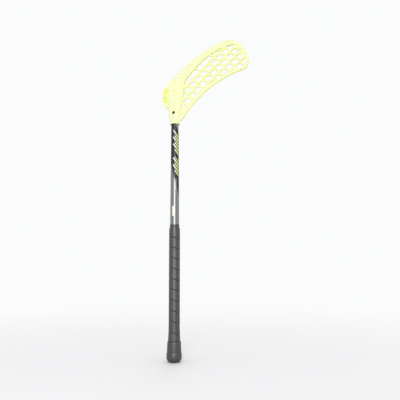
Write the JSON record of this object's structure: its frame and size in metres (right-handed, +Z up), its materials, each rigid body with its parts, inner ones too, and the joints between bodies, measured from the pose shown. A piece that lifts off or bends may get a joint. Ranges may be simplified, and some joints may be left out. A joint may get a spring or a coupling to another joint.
{
  "type": "floorball stick",
  "caption": "Junior floorball stick: tapered tube shaft with a wound grip and butt cap, and a hooked, open-lattice plastic blade pressed and screwed onto its end.",
  "frame": {"origin": "middle of the flat underside of the butt cap, on the shaft's axis", "axes": "+Z up the shaft from the butt to the blade, +X towards the blade's toe, the blade's backhand side faces -Y"},
  "size_m": [0.2363, 0.0567, 0.8473],
  "materials": {
    "blade_plastic": "moulded, slightly translucent neon yellow",
    "black_screw": "blackened steel",
    "shaft_laminate": "lacquered glass-fibre laminate, black fading to grey, with printed stripes",
    "finishing_tape": "smooth dark vinyl tape",
    "grip_tape": "cushioned polyurethane tape, dark grey, fine embossed grain",
    "cap_rubber": "moulded black rubber"
  },
  "bodies": {
    "root": {"blade": "blade_plastic", "blade_screw": "black_screw", "shaft_tube": "shaft_laminate", "finishing_tape": "finishing_tape", "grip_tape": "grip_tape", "end_cap": "cap_rubber"}
  },
  "joints": []
}
